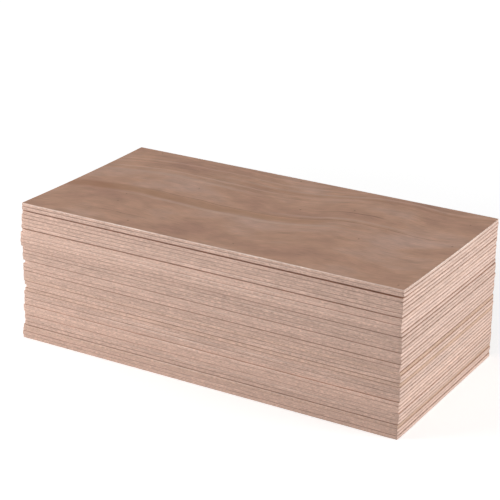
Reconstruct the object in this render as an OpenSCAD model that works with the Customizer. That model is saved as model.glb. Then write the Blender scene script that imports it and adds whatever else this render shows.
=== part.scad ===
// A free-standing stack of small three-ply plywood sheets, lying flat on a level floor.
// X runs along the sheets, Y across them and Z up. The origin is the middle of the underside
// of the lowest sheet. Lengths are in millimetres and angles in degrees.
//
// The sheets were sawn and piled a packet at a time, a few together. The sheets of a packet
// have one length and nearly one cup, so they nest. Where a packet lies on a flatter one, a gap
// opens along the long edges. The pile was knocked flush at its +X end, so that the different
// lengths show at the other end.

/* [Sheet] */
// Length of a sheet, along its face grain
sheet_l = 610; // [300:1:2440]
// Width of a sheet
sheet_w = 305; // [150:1:1220]
// Thickness of a sheet
sheet_t = 5.2; // [2.5:0.1:25]
// Colour of the face veneer
veneer_colour = "#C9A692"; // [#C9A692, #D9B99B, #B98F72]

/* [Pile] */
// Number of sheets in the pile
sheet_count = 39; // [2:1:60]
// Air left between two sheets of one packet by their rough faces
face_air = 0.12; // [0.02:0.01:0.5]
// Most that a packet's sheets were sawn too long
length_spread = 9.5; // [0:0.1:15]
// Most that a packet lies off line, each way
packet_slip = 0.7; // [0:0.1:15]
// Most that one sheet lies off line within its packet, each way
sheet_slip = 0.4; // [0:0.1:5]
// Most that one sheet is turned about the vertical
sheet_skew = 0.12; // [0:0.02:1]
// Seed of the scatter in slip and skew
scatter_seed = 7; // [1:1:99]

/* [Cup] */
// Most that the long edges of a packet lift above its middle
packet_cup = 1.9; // [0:0.1:8]
// How much less each sheet of a packet is cupped than the one below it
cup_ease = 0.15; // [0:0.01:0.5]
// Most that the low line of a cup lies away from the middle of the pile
cup_shift = 20; // [0:1:60]
// Flat facets that a cup is made of, across the sheet
cup_facets = 10; // [4:2:24]

/* [Hidden] */
function sheet_name(i) = str("sheet_", i < 10 ? "0" : "", i);

// Joints, counted from the floor, where one packet lies on the next
packet_joints = [1, 2, 4, 8, 10, 14, 17, 20, 23, 27, 32, 34, 37];

// Each packet, floor to top: how much too long its sheets were sawn, as a share of length_spread
long_shares = [1, 1, 1, 0.6, 0.65, 0.6, 0.3, 0.4, 0.5, 0.45, 0.6, 0.35, 0.35, 0.2];

// Each packet, floor to top: the cup of its lowest sheet, as a share of packet_cup.
// The floor keeps the first one flat.
cup_shares = [0, 0.12, 0.24, 0.48, 0.36, 0.36, 0.42, 0.36, 0.36, 0.48, 0.42, 0.54, 0.54, 1];

// The packet that sheet i lies in, counted from 0 at the floor, and how many of its sheets lie under i
function packet_of(i) = len([for (joint = packet_joints) if (joint < i) joint]);
function sheets_under(i) = i - 1 - max([0, for (joint = packet_joints) if (joint < i) joint]);

// Scattered values in -1 to 1, the same in every build
function scatter(count, kind) = rands(-1, 1, count, scatter_seed + kind);
packet_count = len(packet_joints) + 1;
packet_along = scatter(packet_count, 1);
packet_aside = scatter(packet_count, 2);
packet_low = scatter(packet_count, 3);
sheet_along = scatter(sheet_count + 1, 4);
sheet_aside = scatter(sheet_count + 1, 5);
sheet_turn = scatter(sheet_count + 1, 6);

// The lowest sheet is the square one that the others were laid on
function laid_on(i) = i == 1 ? 0 : 1;
function slip_x(i) = laid_on(i) * (packet_slip * packet_along[packet_of(i)] + sheet_slip * sheet_along[i]);
function slip_y(i) = laid_on(i) * (packet_slip * packet_aside[packet_of(i)] + sheet_slip * sheet_aside[i]);
function skew(i) = laid_on(i) * sheet_skew * sheet_turn[i];
function sawn_l(i) = sheet_l + length_spread * long_shares[packet_of(i)];

// Cup of sheet i, and its height at y above its own low line: a shallow parabola
function cup(i) = packet_cup * cup_shares[packet_of(i)] - cup_ease * sheets_under(i);
function low_y(i) = cup_shift * packet_low[packet_of(i)];
function rise(i, y) = cup(i) * pow((y - low_y(i)) / (sheet_w / 2), 2);

// Places across the pile where facets meet. All sheets share them, so that faces in contact never cross.
off_line = packet_slip + sheet_slip + sheet_l * sin(sheet_skew) + sheet_t;
facet_reach = sheet_w / 2 + off_line;
stations = [for (k = [0 : cup_facets]) facet_reach * (2 * k / cup_facets - 1)];

// Sheet i comes to rest where its underside first meets the top of the sheet below
function drop_stop(i) = max([for (y = stations) rise(i - 1, y) - rise(i, y)]);
function rest_z(i) = i == 1 ? 0 : rest_z(i - 1) + sheet_t + face_air + drop_stop(i);

// A slab with sheet i's cup and thickness, larger all round than the sheet
module cupped_slab(i) {
    under = [for (y = stations) [y, rest_z(i) + rise(i, y)]];
    over = [for (k = [cup_facets : -1 : 0]) under[k] + [0, sheet_t]];
    rotate([90, 0, 90])
        linear_extrude(height = sheet_l + 2 * (length_spread + off_line), center = true)
            polygon(concat(under, over));
}

// The four saw cuts that give sheet i its size, through everything above and below it
module saw_cuts(i) {
    highest_rise = max([for (y = stations) rise(i, y)]);
    cut_depth = 2 * (rest_z(i) + highest_rise + 2 * sheet_t);
    flush_x = (sawn_l(1) - sawn_l(i)) / 2;
    translate([flush_x + slip_x(i), slip_y(i)])
        rotate(skew(i))
            linear_extrude(height = cut_depth, center = true)
                square([sawn_l(i), sheet_w], center = true);
}

module sheet(i) {
    color(veneer_colour)
        intersection() {
            cupped_slab(i);
            saw_cuts(i);
        }
}

for (i = [1 : sheet_count])
    sheet(i);
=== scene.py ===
import math

import bpy
import numpy as np
from mathutils import Matrix


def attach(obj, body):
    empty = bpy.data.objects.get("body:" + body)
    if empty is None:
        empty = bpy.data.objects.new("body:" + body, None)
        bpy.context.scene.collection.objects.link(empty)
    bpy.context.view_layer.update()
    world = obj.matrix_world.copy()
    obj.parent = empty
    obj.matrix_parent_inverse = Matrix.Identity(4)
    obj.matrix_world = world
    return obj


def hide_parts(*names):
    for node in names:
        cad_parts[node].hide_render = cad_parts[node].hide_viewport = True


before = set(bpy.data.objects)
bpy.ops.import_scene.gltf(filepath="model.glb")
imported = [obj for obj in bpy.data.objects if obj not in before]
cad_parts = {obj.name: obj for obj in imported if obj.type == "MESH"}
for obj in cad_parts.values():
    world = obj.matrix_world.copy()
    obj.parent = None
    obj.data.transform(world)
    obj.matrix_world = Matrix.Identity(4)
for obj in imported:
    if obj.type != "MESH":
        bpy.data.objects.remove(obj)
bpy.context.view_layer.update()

# Sizes, in metres. The lowest sheet lies flat, so its height is the thickness of a sheet.
SHEET_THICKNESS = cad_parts["sheet_01"].dimensions.z
FACE_PLY = 0.0011
PLIES = 3
# Step from point to point along the rim, and the round of a corner and of an arris
STATION_SPACING = 0.005
CORNER_RADIUS = 0.0004
ARRIS = 0.00045
# Depth of a glue line's groove, of the saw's unevenness and of a splinter's hollow
GLUE_GROOVE = 0.00010
PLY_WOBBLE = 0.00006
CHIP_DEPTH = 0.00035

# Corners of a sheet in plan, counter-clockwise from the front left one, and the points between the two
# sides of a round corner, by their angles
QUARTERS = np.array([(-1, -1), (1, -1), (1, 1), (-1, 1)])
CORNER_ANGLES = np.radians([30, 60])
CORNER_POINTS = len(CORNER_ANGLES)

# Rings of points on a face, in from the saw cut, as shares of half the width, and the steps of the
# profile that lie on a face
FACE_RINGS = (0.75, 0.5, 0.25)
FACE_STEPS = len(FACE_RINGS) + 1

# The saw's unevenness and the splinters: waves in a lap of the rim, and the share of each. A splinter comes
# out where its waves add up to more than CHIP_LEVEL.
WOBBLE_WAVES = np.array([23, 61, 149, 211])
WOBBLE_SHARES = [0.3, 0.3, 0.2, 0.2]
CHIP_WAVES = np.array([17, 47, 101, 173])
CHIP_SHARES = [0.25, 0.3, 0.3, 0.15]
CHIP_LEVEL = 0.45

# Corners knocked in, in metres: how far along the rim, the most by chance, and the front left corners
# that took a harder knock
KNOCK_REACH = 0.012
KNOCK_DEPTH = 0.0006
KNOCKED_CORNERS = {
    "sheet_04": 0.0015,
    "sheet_16": 0.0015,
    "sheet_23": 0.0028,
    "sheet_32": 0.0022,
    "sheet_37": 0.0015,
}

# Strength of the painted highlight on a sheet's upper arris at a corner, where the middle of a side is 1
CORNER_HIGHLIGHT = 0.35

# Sheets from one log lie together and are alike in tone: waves, in sheets, and the share of each
TONE_WAVES = [7, 11, 19]
TONE_SHARES = [0.45, 0.45, 0.3]
TONE_SEED = 11

# Seed of all else that is left to chance, and the sheets whose edge is tan
SEED = 11
TAN_SHEETS = ("sheet_04", "sheet_15", "sheet_18")

# Places on a sheet's bake picture, as shares of it: left, low, wide and tall.
# The upper face gets the most room, because it is the one that shows. The strips are the front, the
# +X end, the back and the -X end.
BAKE_UNDER = (0.005, 0.125, 0.99, 0.17)
BAKE_OVER = (0.005, 0.305, 0.99, 0.69)
BAKE_STRIPS = [
    (0.005, 0.085, 0.99, 0.03),
    (0.005, 0.005, 0.49, 0.03),
    (0.005, 0.045, 0.99, 0.03),
    (0.505, 0.005, 0.49, 0.03),
]

# The veneer's figure, drawn for a sheet that reaches HALF_LENGTH metres each way from its middle.
# The vein: share of the length, and millimetres across from the middle of the sheet.
HALF_LENGTH = 0.305
VEIN_MM = [(0, -26), (0.133, -4), (0.3, -1), (0.467, -5), (0.6, 6), (0.7, 30), (0.8, 35), (0.9, 30), (1, 41)]
# The streaks: millimetres across from the vein, and strength
STREAKS_MM = [(-500, 0.3), (-40, 0.25), (-20, 0.6), (5, 0.3), (15, 0.15), (55, 0.2), (75, 0.8), (500, 0.9)]
# Lines along the grain: millimetres across from the vein to the middle of the line, half its width in
# millimetres, the stretch of the length that shows it, its strength and its colour
GRAIN_LINES_MM = [
    (-12, 14, (-0.1, 0.75), 0.55, "#B4845F"),
    (-10, 20, (-0.25, 0.2), 0.45, "#A8714F"),
    (-27.5, 5, (0.1, 0.8), 0.4, "#E0C3B2"),
    (0, 1, (0.05, 1.1), 0.7, "#85593F"),
    (9, 5, (0.5, 0.9), 0.4, "#DEBFAC"),
    (36, 1.6, (0.6, 0.8), 0.75, "#855C4A"),
    (68, 6, (-0.1, 0.5), 0.35, "#DDBEAC"),
    (86, 2, (-0.1, 0.6), 0.4, "#E2C8B6"),
    (97, 4, (0.2, 1.1), 0.45, "#B18163"),
    (106, 2.5, (0.25, 1.0), 0.35, "#E0C4B2"),
    (124, 2, (-0.1, 0.8), 0.35, "#E0C4B2"),
    (-108, 1.4, (0.08, 0.34), 0.5, "#946B5A"),
]

# Camera at the photograph's viewing angle
CAMERA_PLACE = (1.1368, -1.924, 1.043)
CAMERA_TURN = math.radians(30.76)
CAMERA_DOWN = math.radians(21.72)
CAMERA_ROLL = math.radians(0.37)
CAMERA_LENS_MM = 120.1
CAMERA_SENSOR_MM = 36


def linear(hex_colour):
    """An sRGB hex colour as the linear RGBA that Blender's sockets take."""
    srgb = np.array([int(hex_colour[k : k + 2], 16) for k in (1, 3, 5)]) / 255
    low = srgb / 12.92
    high = ((srgb + 0.055) / 1.055) ** 2.4
    return (*np.where(srgb <= 0.04045, low, high).tolist(), 1.0)


def add(tree, kind, inputs=None, **settings):
    """Adds one node, sets its properties, and fills its sockets, given by name or by number.

    A socket gets a plain value, a link from another socket, or a link from the first output of a node.
    """
    made = tree.nodes.new("ShaderNode" + kind)
    for name, value in settings.items():
        setattr(made, name, value)
    for socket, value in (inputs or {}).items():
        source = value.outputs[0] if isinstance(value, bpy.types.Node) else value
        if isinstance(source, bpy.types.NodeSocket):
            tree.links.new(source, made.inputs[socket])
        else:
            made.inputs[socket].default_value = source
    return made


def sum_of_waves(rng, along, lengths, strengths):
    """Smooth chance curve: sines of the given wavelengths with random phases, added together."""
    phases = rng.uniform(0, 2 * np.pi, len(lengths))
    waves = np.sin(2 * np.pi * along[:, None] / np.array(lengths) + phases)
    return waves @ np.array(strengths)


def sheet_place(node):
    """Reads a CAD sheet: the corners of its plan, and the parabola of its cupped underside across Y."""
    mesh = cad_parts[node].data
    points = np.empty(len(mesh.vertices) * 3)
    mesh.vertices.foreach_get("co", points)
    points = points.reshape(-1, 3)
    corners = points[np.argmax(points[:, :2] @ QUARTERS.T, axis=0), :2]
    stations, group = np.unique(np.round(points[:, 1], 5), return_inverse=True)
    under = np.full(len(stations), np.inf)
    np.minimum.at(under, group.ravel(), points[:, 2])
    return corners, np.linalg.lstsq(np.vander(stations, 3), under, rcond=None)[0]


def rim_path(length, width):
    """The rectangle of a sheet's plan, walked counter-clockwise from the front left corner.

    Each side is a row of even steps, and each corner is rounded by CORNER_POINTS of a quarter circle.
    Returns the points, the share of end side in each (0 on a long side, 1 on a short end) and the number of
    steps in a long and a short side.
    """
    counts = [round(side / STATION_SPACING) for side in (length, width)]
    half = np.array([length, width]) / 2
    turn = CORNER_ANGLES[:, None]
    round_shares = np.arange(1, CORNER_POINTS + 1) / (CORNER_POINTS + 1)
    rows, ends = [], []
    for side in range(4):
        is_end = side % 2
        direction = np.array([(1, 0), (0, 1), (-1, 0), (0, -1)][side], float)
        outward = np.array([(0, -1), (1, 0), (0, 1), (-1, 0)][side], float)
        reach = half[is_end] - CORNER_RADIUS
        steps = np.linspace(-reach, reach, counts[is_end] + 1)
        rows.append(outward * half[1 - is_end] + direction * steps[:, None])
        ends.append(np.full(len(steps), float(is_end)))
        corner = outward * (half[1 - is_end] - CORNER_RADIUS) + direction * reach
        rows.append(corner + CORNER_RADIUS * (outward * np.cos(turn) + direction * np.sin(turn)))
        ends.append(1 - round_shares if is_end else round_shares)
    return np.concatenate(rows), np.concatenate(ends), counts


def knocked(path, depths):
    """The rim with its four corners knocked in.

    A point moves toward the middle of the sheet, in X and in Y, by the corner's depth times one minus the
    sine of a quarter turn, so that the move fades to nothing at KNOCK_REACH from the corner.
    """
    half = np.abs(path).max(axis=0)
    for quarter, depth in zip(QUARTERS, depths):
        corner = half * quarter
        near = np.clip(np.linalg.norm(path - corner, axis=1) / KNOCK_REACH, 0, 1)
        path = path - depth * (1 - np.sin(near * np.pi / 2))[:, None] * quarter
    return path


def sheet_profile(half_width):
    """Half a sheet's section, from its underside round the sawn edge to its top.

    A few points lie on each face, both arrises are eased by a quarter round, a shallow groove marks each
    glue line, and the core lies a little back. Returns the points' depths from the cut, and their heights.
    """
    top = SHEET_THICKNESS
    quarter = np.radians([0, 30, 60, 90])
    arris_depth = ARRIS * (1 - np.sin(quarter))
    arris_height = ARRIS * (1 - np.cos(quarter))
    core_back = GLUE_GROOVE / 3
    half_groove = GLUE_GROOVE * 0.8
    in_core = top * 0.36
    near_arris = 4 * ARRIS
    lower_depth = [0, GLUE_GROOVE, core_back, core_back]
    lower_height = [FACE_PLY - half_groove, FACE_PLY, FACE_PLY + half_groove, in_core]
    face_depth = np.append(np.array(FACE_RINGS) * half_width, near_arris)
    depth = np.concatenate([face_depth, arris_depth, lower_depth])
    height = np.concatenate([np.zeros(len(face_depth)), arris_height, lower_height])
    depth = np.concatenate([depth, [core_back], depth[::-1]])
    height = np.concatenate([height, [top / 2], top - height[::-1]])
    return depth, height


def sheet_points(corners, cup, path, depth, height, rng):
    """The points of a sheet: its edge profile carried round the rim, and a middle line on each face.

    A point at depth d from the saw cut is the rim's point scaled in by d on all sides. The saw leaves each
    ply a little uneven, so d gets a chance wave for each ply, and splinters leave short hollows in the
    arrises. The height of a point is the cupped underside's parabola at its Y, and the height in the profile
    above that. Returns the points, row by row, their places in the sheet's own plan, and their heights in
    the profile.
    """
    sides = corners[[1, 3]] - corners[0]
    size = np.linalg.norm(sides, axis=1)
    run = np.arange(len(path)) * STATION_SPACING
    lap = len(path) * STATION_SPACING
    ply = np.where(height < FACE_PLY, 0, np.where(height < SHEET_THICKNESS - FACE_PLY, 1, 2))
    wobble = np.stack([sum_of_waves(rng, run, lap / WOBBLE_WAVES, WOBBLE_SHARES) for _ in range(PLIES)])
    chips = np.stack([sum_of_waves(rng, run, lap / CHIP_WAVES, CHIP_SHARES) for _ in range(PLIES)])
    chips = np.clip(chips - CHIP_LEVEL, 0, None) / (1 - CHIP_LEVEL)
    # All of an arris but its last point, which lies on the cut
    on_arris = np.minimum(height, SHEET_THICKNESS - height) < ARRIS * 0.9
    deep = depth[:, None] + PLY_WOBBLE * (1 + wobble[ply]) + CHIP_DEPTH * chips[ply] * on_arris[:, None]
    rim = (path * (1 - 2 * deep[:, :, None] / size)).reshape(-1, 2)
    middle = np.zeros((round(size[0] / STATION_SPACING) + 1, 2))
    middle[:, 0] = np.linspace(-1, 1, len(middle)) * (size[0] - size[1]) / 2
    plan = np.concatenate([rim, middle, middle])
    heights = np.repeat([*height, 0, SHEET_THICKNESS], [len(path)] * len(height) + [len(middle)] * 2)
    ground = corners.mean(axis=0) + plan @ (sides / size[:, None])
    return np.column_stack([ground, np.polyval(cup, ground[:, 1]) + heights]), plan, heights


def sheet_faces(rows, long_steps, short_steps):
    """The faces of a sheet: quads between the profile's rows, and a fan to the middle line of each face.

    A fan has triangles where the rim passes the end of the middle line. Returns the quads, one row of them
    for each step of the profile, then the fans' quads and the fans' triangles, each with the underside first.
    """
    end_points = short_steps + 1 + 2 * CORNER_POINTS
    to_middle = np.concatenate(
        [
            np.arange(long_steps + 1),
            np.full(end_points, long_steps),
            np.arange(long_steps, -1, -1),
            np.zeros(end_points, dtype=int),
        ]
    )
    count = len(to_middle)
    station = np.arange(count)
    after = (station + 1) % count
    low = np.arange(rows - 1)[:, None] * count
    high = low + count
    quads = np.stack([low + station, low + after, high + after, high + station], axis=-1)
    under_middle = rows * count + to_middle
    over_middle = under_middle + long_steps + 1
    top = (rows - 1) * count
    under = np.stack([after, station, under_middle[station], under_middle[after]], axis=-1)
    over = np.stack([top + station, top + after, over_middle[after], over_middle[station]], axis=-1)
    fans = np.concatenate([under, over])
    is_triangle = fans[:, 2] == fans[:, 3]
    return quads, fans[~is_triangle], fans[is_triangle, :3]


def bake_layout(plan, depth, height, faces, side_steps):
    """Where each corner of each face lies on the square picture that is baked for a sheet.

    The two faces lie there in plan. The four sides of the sawn edge are flat strips, drawn tall so that
    the plies stay sharp: along a strip goes the share of the side's steps, and across it the share of the
    profile's run round the edge.
    """
    quads, fan_quads, fan_triangles = faces
    edge_rows = np.arange(FACE_STEPS, len(quads) - FACE_STEPS)

    def in_plan(some_faces, box):
        left, low, wide, tall = box
        return (left, low) + (plan[some_faces.ravel()] + 0.5) * (wide, tall)

    run = np.concatenate([[0], np.cumsum(np.hypot(np.diff(depth), np.diff(height)))])
    run = (run - run[edge_rows[0]]) / (run[edge_rows[-1] + 1] - run[edge_rows[0]])
    across = run[edge_rows[:, None] + (0, 0, 1, 1)][:, None, :]
    along = np.concatenate([(np.arange(steps)[:, None] + (0, 1, 1, 0)) / steps for steps in side_steps])
    left, low, wide, tall = np.repeat(BAKE_STRIPS, side_steps, axis=0).T[:, :, None]
    strips = np.stack(np.broadcast_arrays(left + wide * along, low + tall * across), axis=-1)
    under_quads, over_quads = np.split(fan_quads, 2)
    under_triangles, over_triangles = np.split(fan_triangles, 2)
    return np.concatenate(
        [
            in_plan(quads[:FACE_STEPS], BAKE_UNDER),
            strips.reshape(-1, 2),
            in_plan(quads[len(quads) - FACE_STEPS :], BAKE_OVER),
            in_plan(under_quads, BAKE_UNDER),
            in_plan(over_quads, BAKE_OVER),
            in_plan(under_triangles, BAKE_UNDER),
            in_plan(over_triangles, BAKE_OVER),
        ]
    )


def highlight_along_rim(plan):
    """How strong the painted highlight on the upper arris is at each point, from places in plan as shares of
    the length and the width.

    A squared cosine of the share, the larger of the two, falls from 1 at the middle of a side to
    CORNER_HIGHLIGHT at its corners.
    """
    return CORNER_HIGHLIGHT + (1 - CORNER_HIGHLIGHT) * (np.cos(np.pi * plan) ** 2).max(axis=1)


def sheet_piece(node, rng, look, materials):
    """One plywood sheet as a closed mesh, with veneer on both faces and a sawn edge all round."""
    corners, cup = sheet_place(node)
    length, width = np.linalg.norm(corners[[1, 3]] - corners[0], axis=1)
    path, ends, (long_steps, short_steps) = rim_path(length, width)
    knocks = rng.uniform(0, KNOCK_DEPTH, 4)
    knocks[0] = KNOCKED_CORNERS.get(node, knocks[0])
    depth, height = sheet_profile(width / 2)
    points, plan, heights = sheet_points(corners, cup, knocked(path, knocks), depth, height, rng)
    faces = sheet_faces(len(height), long_steps, short_steps)
    quads, fan_quads, fan_triangles = faces

    mesh = bpy.data.meshes.new(node + "_plywood")
    every_face = quads.reshape(-1, 4).tolist() + fan_quads.tolist() + fan_triangles.tolist()
    mesh.from_pydata(points.tolist(), [], every_face)
    for material in materials:
        mesh.materials.append(material)
    on_edge = np.zeros(len(every_face), dtype=np.int32)
    on_edge[FACE_STEPS * len(path) : (len(quads) - FACE_STEPS) * len(path)] = 1
    mesh.polygons.foreach_set("material_index", on_edge)
    mesh.polygons.foreach_set("use_smooth", np.ones(len(every_face), dtype=bool))
    values = {name: np.full(len(points), value) for name, value in look.items()}
    # The painted highlight on the upper arris is strongest at the middle of each side and fades toward the
    # corners
    values["rubbed"] *= highlight_along_rim(plan / (length, width))
    values["ply"] = heights / SHEET_THICKNESS
    values["end_side"] = np.concatenate([np.tile(ends, len(height)), np.zeros(2 * (long_steps + 1))])
    for name, value in values.items():
        mesh.attributes.new(name, "FLOAT", "POINT").data.foreach_set("value", value.astype(np.float32))
    side_steps = [steps + 1 + CORNER_POINTS for steps in (long_steps, short_steps)] * 2
    layout = bake_layout(plan / (length, width), depth, height, faces, side_steps)
    mesh.uv_layers.new(name="OFBake").data.foreach_set("uv", layout.ravel().astype(np.float32))
    mesh.validate()
    piece = bpy.data.objects.new(node + "_plywood", mesh)
    bpy.context.scene.collection.objects.link(piece)
    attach(piece, "root")
    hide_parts(node)


def node_material(name):
    """A new material and its node tree, which is empty."""
    material = bpy.data.materials.new(name)
    material.use_nodes = True
    material.node_tree.nodes.clear()
    return material, material.node_tree


def shape_curve(curve, places):
    """Gives a curve node its points, each at a place from 0 to 1 both ways."""
    points = curve.mapping.curves[0].points
    for _ in places[2:]:
        points.new(0.5, 0.5)
    for point, place in zip(points, places):
        point.location = place
    curve.mapping.update()


def veneer_grain(tree):
    """Coordinates that follow the grain of a veneer.

    Returns the share of the length along the sheet, the distance in metres across the grain from the vein,
    rippled by 3 mm each way, and a place made of both for patterns to be read at.
    """
    place = add(tree, "TexCoord").outputs["Object"]
    read = {
        name: add(tree, "Attribute", attribute_name=name).outputs["Fac"]
        for name in ("shift", "turned", "aside")
    }
    axes = add(tree, "SeparateXYZ", {0: place})
    x = add(tree, "Math", {0: axes.outputs["X"], 1: read["turned"]}, operation="MULTIPLY")
    y = add(tree, "Math", {0: axes.outputs["Y"], 1: read["aside"]}, operation="ADD")
    along = add(tree, "MapRange", {"Value": x, "From Min": -HALF_LENGTH, "From Max": HALF_LENGTH})
    vein = add(tree, "FloatCurve", {"Value": along})
    shape_curve(vein, [(share, 0.5 + offset / 1000) for share, offset in VEIN_MM])
    vein_y = add(tree, "Math", {0: vein, 1: 0.5}, operation="SUBTRACT")
    ripple = add(tree, "TexNoise", {"Vector": place, "Scale": 14.0, "Detail": 3.0})
    ripple_y = add(tree, "MapRange", {"Value": ripple, "To Min": -0.006, "To Max": 0.006})
    off_vein = add(tree, "Math", {0: y, 1: vein_y}, operation="SUBTRACT")
    across = add(tree, "Math", {0: off_vein, 1: ripple_y}, operation="ADD")
    return along, across, add(tree, "CombineXYZ", {"X": x, "Y": across, "Z": read["shift"]})


def grain_lines(tree, wood, along, across, patches):
    """The wood with lines drawn along the grain, each soft at its sides, faded at its ends and patchy."""
    patchy = add(tree, "MapRange", {"Value": patches, "From Min": 0.3, "From Max": 0.6, "To Min": 0.4})
    for middle_mm, half_width_mm, (begin, end), strength, colour in GRAIN_LINES_MM:
        half_width = half_width_mm / 1000
        off_line = add(tree, "Math", {0: across, 1: middle_mm / 1000}, operation="SUBTRACT")
        off_line = add(tree, "Math", {0: off_line}, operation="ABSOLUTE")
        soft = {"From Min": half_width * 0.4, "From Max": half_width, "To Min": 1.0, "To Max": 0.0}
        near = add(tree, "MapRange", {"Value": off_line, **soft}, interpolation_type="SMOOTHSTEP")
        off_stretch = add(tree, "Math", {0: along, 1: (begin + end) / 2}, operation="SUBTRACT")
        off_stretch = add(tree, "Math", {0: off_stretch}, operation="ABSOLUTE")
        fade = {"From Max": (end - begin) / 2, "To Min": 2 * strength, "To Max": 0.0}
        shown = add(tree, "MapRange", {"Value": off_stretch, **fade})
        shown = add(tree, "Math", {0: shown, 1: strength}, operation="MINIMUM")
        share = add(tree, "Math", {0: near, 1: shown}, operation="MULTIPLY")
        share = add(tree, "Math", {0: share, 1: patchy}, operation="MULTIPLY")
        wood = add(tree, "MixRGB", {"Fac": share, "Color1": wood, "Color2": linear(colour)})
    return wood


def pin_knots(tree, wood, grain):
    """The wood with pin knots 2 to 3 mm across, in about one of three cells of 60 mm."""
    cells = add(tree, "TexVoronoi", {"Vector": grain, "Scale": 16.7}, voronoi_dimensions="2D")
    spot = {"From Min": 0.012, "From Max": 0.03, "To Min": 0.7, "To Max": 0.0}
    knot = add(
        tree, "MapRange", {"Value": cells.outputs["Distance"], **spot}, interpolation_type="SMOOTHSTEP"
    )
    chance = add(tree, "SeparateColor", {0: cells.outputs["Color"]})
    kept = add(tree, "Math", {0: chance.outputs["Red"], 1: 0.66}, operation="GREATER_THAN")
    share = add(tree, "Math", {0: knot, 1: kept}, operation="MULTIPLY")
    return add(tree, "MixRGB", {"Fac": share, "Color1": wood, "Color2": linear("#7A543F")})


def sanded_veneer():
    """Rotary-cut hardwood veneer, sanded and left bare.

    Soft rose and tan clouds, growth streaks that follow one wavy vein, a tan band beside it and a few pin
    knots. Short fuzzy fibres keep the surface dull.
    """
    material, tree = node_material("rotary_cut_veneer_sanded")
    along, across, grain = veneer_grain(tree)

    # Patterns drawn out along the grain: clouds 80 mm wide, streaks 9 mm, smudges 25 mm and mottle 20 mm.
    # Fibres are finer than a millimetre, and are drawn 2 mm wide to show.
    pattern = {}
    for name, stretch, detail in (
        ("cloud", (6.0, 12.0, 5.0), 5.0),
        ("streak", (4.5, 110.0, 5.0), 3.0),
        ("fibre", (55.0, 560.0, 5.0), 3.0),
        ("smudge", (14.0, 40.0, 5.0), 3.0),
        ("mottle", (32.0, 50.0, 5.0), 4.0),
    ):
        spot = add(tree, "VectorMath", {0: grain, 1: stretch}, operation="MULTIPLY")
        pattern[name] = add(tree, "TexNoise", {"Vector": spot, "Scale": 1.0, "Detail": detail})
    wood = add(tree, "ValToRGB", {"Fac": pattern["cloud"]})
    dark, pale = wood.color_ramp.elements
    dark.position = 0.32
    dark.color = linear("#B98C77")
    pale.position = 0.68
    pale.color = linear("#D3AC99")
    wood.color_ramp.elements.new(0.5).color = linear("#CC9F85")

    # Streaks are strong on the far side, and a plain strip lies beside the vein
    off_vein = add(tree, "Math", {0: across, 1: 0.5}, operation="ADD")
    streaky = add(tree, "FloatCurve", {"Value": off_vein})
    shape_curve(streaky, [(0.5 + offset / 1000, strength) for offset, strength in STREAKS_MM])
    tone = add(tree, "Attribute", attribute_name="tone").outputs["Fac"]
    for share, source, (least, most), (dimmest, brightest) in (
        (streaky, pattern["streak"], (0.3, 0.7), (0.84, 1.13)),
        (1.0, pattern["fibre"], (0.0, 1.0), (0.70, 1.30)),
        (1.0, pattern["smudge"], (0.6, 0.8), (1.0, 0.78)),
        (1.0, pattern["mottle"], (0.0, 1.0), (0.76, 1.24)),
        (1.0, tone, (-1.0, 1.0), (0.93, 1.07)),
    ):
        span = {"From Min": least, "From Max": most, "To Min": dimmest, "To Max": brightest}
        light = add(tree, "MapRange", {"Value": source, **span})
        wood = add(tree, "MixRGB", {"Fac": share, "Color1": wood, "Color2": light}, blend_type="MULTIPLY")
    wood = grain_lines(tree, wood, along, across, pattern["smudge"])
    wood = pin_knots(tree, wood, grain)
    fuzz = add(tree, "Bump", {"Height": pattern["fibre"], "Strength": 0.12, "Distance": 0.0004})
    shader = add(
        tree,
        "BsdfPrincipled",
        {"Base Color": wood, "Roughness": 0.62, "Specular IOR Level": 0.3, "Normal": fuzz},
    )
    add(tree, "OutputMaterial", {"Surface": shader})
    return material


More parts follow.
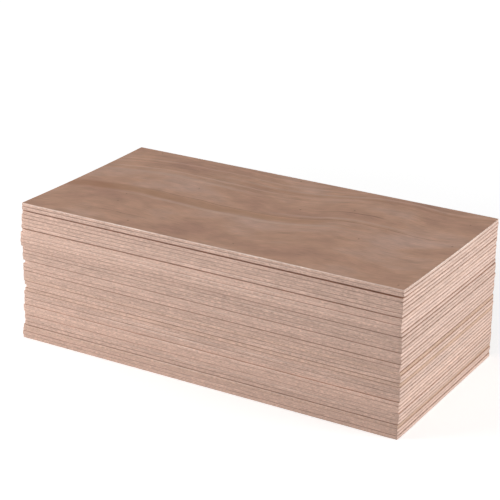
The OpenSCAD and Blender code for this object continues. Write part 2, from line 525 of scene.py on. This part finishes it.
def sawn_edge():
    """Plywood sawn across its plies.

    On a long side the face plies show pale long grain and the core darker end grain, and on a short end it
    is the other way round. A thin brown glue line parts them. The saw leaves the cut rough and dull.
    """
    material, tree = node_material("plywood_edge_sawn")
    place = add(tree, "TexCoord").outputs["Object"]
    read = {
        name: add(tree, "Attribute", attribute_name=name).outputs["Fac"]
        for name in ("ply", "end_side", "tone", "tint", "shift", "torn", "rubbed")
    }
    shifted = add(tree, "CombineXYZ", {"X": read["shift"], "Y": read["shift"], "Z": read["shift"]})
    spot = add(tree, "VectorMath", {0: place, 1: shifted}, operation="ADD")

    # Heights in the edge are shares of the thickness, and the plies lie alike above and below its middle
    middle = add(tree, "Math", {0: read["ply"], 1: 0.5}, operation="SUBTRACT")
    from_middle = add(tree, "Math", {0: middle}, operation="ABSOLUTE")
    glue_line = 0.5 - FACE_PLY / SHEET_THICKNESS
    soft = 0.01
    core = {"From Min": glue_line - soft, "From Max": glue_line + soft, "To Min": 1.0, "To Max": 0.0}
    in_core = add(tree, "MapRange", {"Value": from_middle, **core}, interpolation_type="SMOOTHSTEP")

    # Each of the four cuts has its own colour: face ply and core, on a long side and on a short end
    cuts = []
    for face_colour, core_colour in (("#D5B6A8", "#CDAD9D"), ("#C8A899", "#E5C9BC")):
        colours = {"Color1": linear(face_colour), "Color2": linear(core_colour)}
        cuts.append(add(tree, "MixRGB", {"Fac": in_core, **colours}))
    wood = add(tree, "MixRGB", {"Fac": read["end_side"], "Color1": cuts[0], "Color2": cuts[1]})
    off_glue = add(tree, "Math", {0: from_middle, 1: glue_line}, operation="SUBTRACT")
    off_glue = add(tree, "Math", {0: off_glue}, operation="ABSOLUTE")
    line = {"From Max": 0.03, "To Min": 0.38, "To Max": 0.0}
    glue = add(tree, "MapRange", {"Value": off_glue, **line}, interpolation_type="SMOOTHSTEP")
    wood = add(tree, "MixRGB", {"Fac": glue, "Color1": wood, "Color2": linear("#8C6C5C")})
    tint_strength = add(tree, "MapRange", {"Value": read["end_side"], "To Min": 0.14, "To Max": 0.6})
    tint_share = add(tree, "Math", {0: read["tint"], 1: tint_strength}, operation="MULTIPLY")
    wood = add(tree, "MixRGB", {"Fac": tint_share, "Color1": wood, "Color2": linear("#C3A084")})

    # Painted shade darkens the lower arris, where the joint under each sheet lies in shadow, on long sides
    # most; a painted highlight makes the upper arris pale
    long_side = add(tree, "MapRange", {"Value": read["end_side"], "To Min": 0.40, "To Max": 0.0})
    torn = add(tree, "Math", {0: read["torn"], 1: long_side}, operation="MAXIMUM")
    stretches = add(tree, "TexNoise", {"Vector": spot, "Scale": 9.0, "Detail": 2.0})
    for painted_light_mask, (begin, full), strength, (least, most), colour in (
        (torn, (0.17, 0.05), 0.90, (0.25, 0.5), "#66442F"),
        (read["rubbed"], (0.60, 0.82), 0.95, (0.62, 0.40), "#FBEADE"),
    ):
        rise = {"From Min": begin, "From Max": full, "To Max": strength}
        near = add(tree, "MapRange", {"Value": read["ply"], **rise}, interpolation_type="SMOOTHSTEP")
        span = {"From Min": least, "From Max": most, "To Min": 0.35}
        here = add(tree, "MapRange", {"Value": stretches, **span})
        share = add(tree, "Math", {0: near, 1: here}, operation="MULTIPLY")
        share = add(tree, "Math", {0: share, 1: painted_light_mask}, operation="MULTIPLY")
        wood = add(tree, "MixRGB", {"Fac": share, "Color1": wood, "Color2": linear(colour)})

    # Long grain is fibres 1 mm wide, drawn out to 15 mm. End grain is open pores, well under a millimetre,
    # which are drawn 1.5 mm high and 4.5 mm wide to show. Patches of light and dark are 70 mm wide.
    fibre_spot = add(tree, "VectorMath", {0: spot, 1: (65.0, 65.0, 1000.0)}, operation="MULTIPLY")
    fibres = add(tree, "TexNoise", {"Vector": fibre_spot, "Scale": 1.0, "Detail": 3.0})
    pore_spot = add(tree, "VectorMath", {0: spot, 1: (220.0, 220.0, 700.0)}, operation="MULTIPLY")
    pores = add(tree, "TexNoise", {"Vector": pore_spot, "Scale": 1.0, "Detail": 2.0, "Roughness": 0.7})
    patches = add(tree, "TexNoise", {"Vector": spot, "Scale": 14.0, "Detail": 3.0})
    fibre_light = add(tree, "MapRange", {"Value": fibres, "To Min": 0.56, "To Max": 1.44})
    pore_light = add(tree, "MapRange", {"Value": pores, "To Min": 0.30, "To Max": 1.70})
    patch_light = add(tree, "MapRange", {"Value": patches, "To Min": 0.82, "To Max": 1.18})
    toned = add(tree, "MapRange", {"Value": read["tone"], "From Min": -1.0, "To Min": 0.94, "To Max": 1.06})
    # The cut runs along the fibres in the face plies of a long side and in the core of a short end
    unlike = add(tree, "Math", {0: in_core, 1: read["end_side"]}, operation="SUBTRACT")
    end_grain = add(tree, "Math", {0: unlike}, operation="ABSOLUTE")
    long_grain = add(tree, "Math", {0: 1.0, 1: end_grain}, operation="SUBTRACT")
    grain_light = add(tree, "MixRGB", {"Fac": long_grain, "Color1": pore_light, "Color2": fibre_light})
    for light in (grain_light, patch_light, toned):
        wood = add(tree, "MixRGB", {"Fac": 1.0, "Color1": wood, "Color2": light}, blend_type="MULTIPLY")
    rough = add(tree, "Bump", {"Height": pores, "Strength": 0.35, "Distance": 0.0005})
    shader = add(
        tree,
        "BsdfPrincipled",
        {"Base Color": wood, "Roughness": 0.82, "Specular IOR Level": 0.2, "Normal": rough},
    )
    add(tree, "OutputMaterial", {"Surface": shader})
    return material


def seen_rays(tree):
    """1 for what the camera sees, straight or by way of gloss or glass, and 0 for what lights a surface."""
    rays = add(tree, "LightPath")
    seen = rays.outputs["Is Camera Ray"]
    for kind in ("Is Glossy Ray", "Is Transmission Ray"):
        seen = add(tree, "Math", {0: seen, 1: rays.outputs[kind]}, operation="MAXIMUM")
    return seen


def white_floor():
    """A white paper floor, dull: it shows white to the camera and keeps a soft shadow of the stack.

    What the camera sees of it glows a little, and more so from half a metre to 1.6 m away.
    """
    reach = 6.0
    mesh = bpy.data.meshes.new("floor")
    corners = [(-reach, -reach, 0), (reach, -reach, 0), (reach, reach, 0), (-reach, reach, 0)]
    mesh.from_pydata(corners, [], [(0, 1, 2, 3)])
    floor = bpy.data.objects.new("floor", mesh)
    bpy.context.scene.collection.objects.link(floor)
    material, tree = node_material("white_paper")
    paper = add(tree, "BsdfDiffuse", {"Color": linear("#F2F2F2")})
    place = add(tree, "TexCoord").outputs["Object"]
    away = add(tree, "VectorMath", {0: place}, operation="LENGTH").outputs["Value"]
    span = {"From Min": 0.5, "From Max": 1.6, "To Min": 0.50, "To Max": 0.72}
    strength = add(tree, "MapRange", {"Value": away, **span}, interpolation_type="SMOOTHSTEP")
    glow = add(tree, "Emission", {"Color": (1, 1, 1, 1), "Strength": strength})
    lit = add(tree, "AddShader", {0: paper, 1: glow})
    surface = add(tree, "MixShader", {0: seen_rays(tree), 1: paper, 2: lit})
    add(tree, "OutputMaterial", {"Surface": surface})
    mesh.materials.append(material)


def studio_world():
    """White to the camera and in reflections, a weak even light for everything else."""
    world = bpy.data.worlds.new("studio")
    bpy.context.scene.world = world
    world.use_nodes = True
    tree = world.node_tree
    tree.nodes.clear()
    strength = add(tree, "MapRange", {"Value": seen_rays(tree), "To Min": 0.31, "To Max": 1.0})
    sky = add(tree, "Background", {"Color": (1, 1, 1, 1), "Strength": strength})
    add(tree, "OutputWorld", {"Surface": sky})


def soft_box(name, place, target, size, watts):
    """A square soft light at a place, facing a target."""
    lamp = bpy.data.lights.new(name, "AREA")
    lamp.size = size
    lamp.energy = watts
    box = bpy.data.objects.new(name, lamp)
    bpy.context.scene.collection.objects.link(box)
    away = np.array(place, float) - np.array(target, float)
    depth = away / np.linalg.norm(away)
    right = np.cross((0, 0, 1), depth)
    right /= np.linalg.norm(right)
    up = np.cross(depth, right)
    turn = np.eye(4)
    turn[:3, :3] = np.column_stack([right, up, depth])
    turn[:3, 3] = place
    box.matrix_world = Matrix(turn.tolist())


def photo_camera():
    """The camera of the photograph: turned, looking down and rolled by the named angles."""
    lens = bpy.data.cameras.new("camera")
    lens.lens = CAMERA_LENS_MM
    lens.sensor_width = CAMERA_SENSOR_MM
    camera = bpy.data.objects.new("camera", lens)
    bpy.context.scene.collection.objects.link(camera)
    camera.matrix_world = (
        Matrix.Translation(CAMERA_PLACE)
        @ Matrix.Rotation(CAMERA_TURN, 4, "Z")
        @ Matrix.Rotation(math.pi / 2 - CAMERA_DOWN, 4, "X")
        @ Matrix.Rotation(CAMERA_ROLL, 4, "Z")
    )
    bpy.context.scene.camera = camera


def all_sheets():
    """Every sheet of the stack, floor to top, each with its own look.

    tone is light or dark, tint is how tan the edge is, shift picks the wood's pattern, torn is the strength
    of the painted shade on the lower arris, in the joint under the sheet, and rubbed is the strength of the
    painted highlight on the upper arris: most on the open top sheet. A face's figure is turned end for end
    where turned is -1, and lies to one side by aside, in metres.
    """
    rng = np.random.default_rng(SEED)
    materials = [sanded_veneer(), sawn_edge()]
    nodes = sorted(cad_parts)
    tone_rng = np.random.default_rng(TONE_SEED)
    log_tones = sum_of_waves(tone_rng, np.arange(len(nodes)), TONE_WAVES, TONE_SHARES)
    for node, log_tone in zip(nodes, log_tones):
        look = {
            "tone": log_tone + rng.uniform(-0.4, 0.4),
            "tint": rng.uniform(0, 0.25),
            "shift": rng.uniform(1, 9),
            "torn": rng.uniform(0, 1),
            "rubbed": rng.uniform(0, 0.35),
            "turned": rng.choice([-1.0, 1.0]),
            "aside": rng.uniform(-0.08, 0.08),
        }
        if node in TAN_SHEETS:
            look["tint"] = 1.0
        # The open top sheet gets the full painted shade on its lower arris and the full painted highlight on
        # its upper arris
        if node == nodes[-1]:
            look.update(tone=0.0, shift=0.0, torn=1.0, rubbed=1.0, turned=1.0, aside=0.0)
        sheet_piece(node, rng, look, materials)


photo_camera()
white_floor()
studio_world()
soft_box("left_front_light", place=(-1.7, -1.4, 0.55), target=(0, 0, 0.1), size=1.3, watts=44)
soft_box("right_light", place=(2.4, 0.3, 0.6), target=(0.2, 0, 0.1), size=1.2, watts=33)
all_sheets()
bpy.context.scene.view_settings.view_transform = "Standard"
